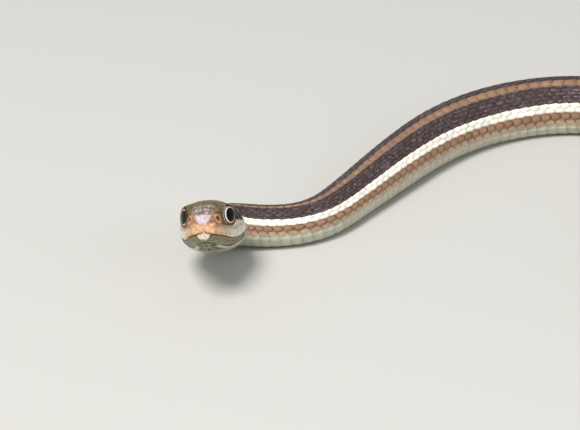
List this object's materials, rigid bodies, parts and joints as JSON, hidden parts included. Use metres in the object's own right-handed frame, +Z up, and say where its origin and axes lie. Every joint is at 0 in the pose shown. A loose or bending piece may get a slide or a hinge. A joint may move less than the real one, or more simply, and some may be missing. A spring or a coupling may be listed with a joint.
{
  "type": "garter snake",
  "caption": "Life-size slender garter snake, striped, resting on the ground in open curves with its head a little raised.",
  "frame": {"origin": "middle of the base of the model's bounding box, on the ground", "axes": "+Z up; +X runs from the head's end towards the tail's end; the snake's face looks to -Y, raised a little"},
  "size_m": [0.2582, 0.0913, 0.0163],
  "materials": {
    "head_skin": "satin",
    "jaw_skin": "satin",
    "eye": "gloss",
    "body_skin": "satin"
  },
  "bodies": {
    "root": {"head": "head_skin", "lower_jaw": "jaw_skin", "eye_right": "eye", "eye_left": "eye", "neck": "body_skin", "torso_1": "body_skin", "torso_2": "body_skin", "torso_3": "body_skin", "torso_4": "body_skin", "torso_5": "body_skin", "torso_6": "body_skin", "torso_7": "body_skin", "tail_1": "body_skin", "tail_2": "body_skin", "tail_3": "body_skin"}
  },
  "joints": []
}
